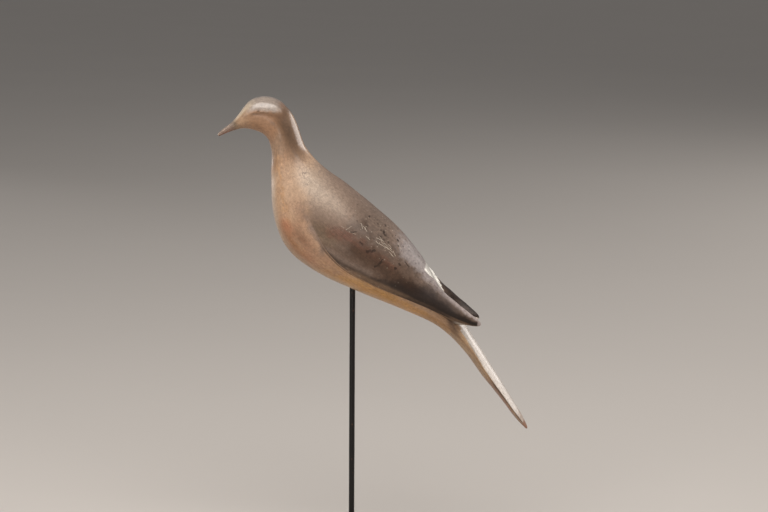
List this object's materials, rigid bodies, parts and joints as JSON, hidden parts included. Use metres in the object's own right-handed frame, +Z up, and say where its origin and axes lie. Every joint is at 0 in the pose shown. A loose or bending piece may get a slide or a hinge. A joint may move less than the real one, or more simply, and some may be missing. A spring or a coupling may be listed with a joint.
{
  "type": "carved pigeon decoy on a rod stand",
  "caption": "Slim carved and painted wooden pigeon, wings folded and long tail down, held at the belly by a thin upright rod on a round foot.",
  "frame": {"origin": "middle of the foot's underside, on the rod's axis", "axes": "+Z up along the rod; the bird faces -X and its tail points to +X and down; +Y is the bird's right side, and the plane y = 0 is its mirror plane"},
  "size_m": [0.2718, 0.12, 0.415],
  "materials": {
    "painted_wood": "old matt oil paint on carved softwood, worn and rubbed: pale grey crown, tan face and breast, grey-brown wings darkening to the tips, whitish tail",
    "rod_steel": "blackened steel, satin",
    "foot_steel": "blackened steel, satin to matt"
  },
  "bodies": {
    "root": {"carved_bird": "painted_wood", "rod": "rod_steel", "foot": "foot_steel"}
  },
  "joints": []
}
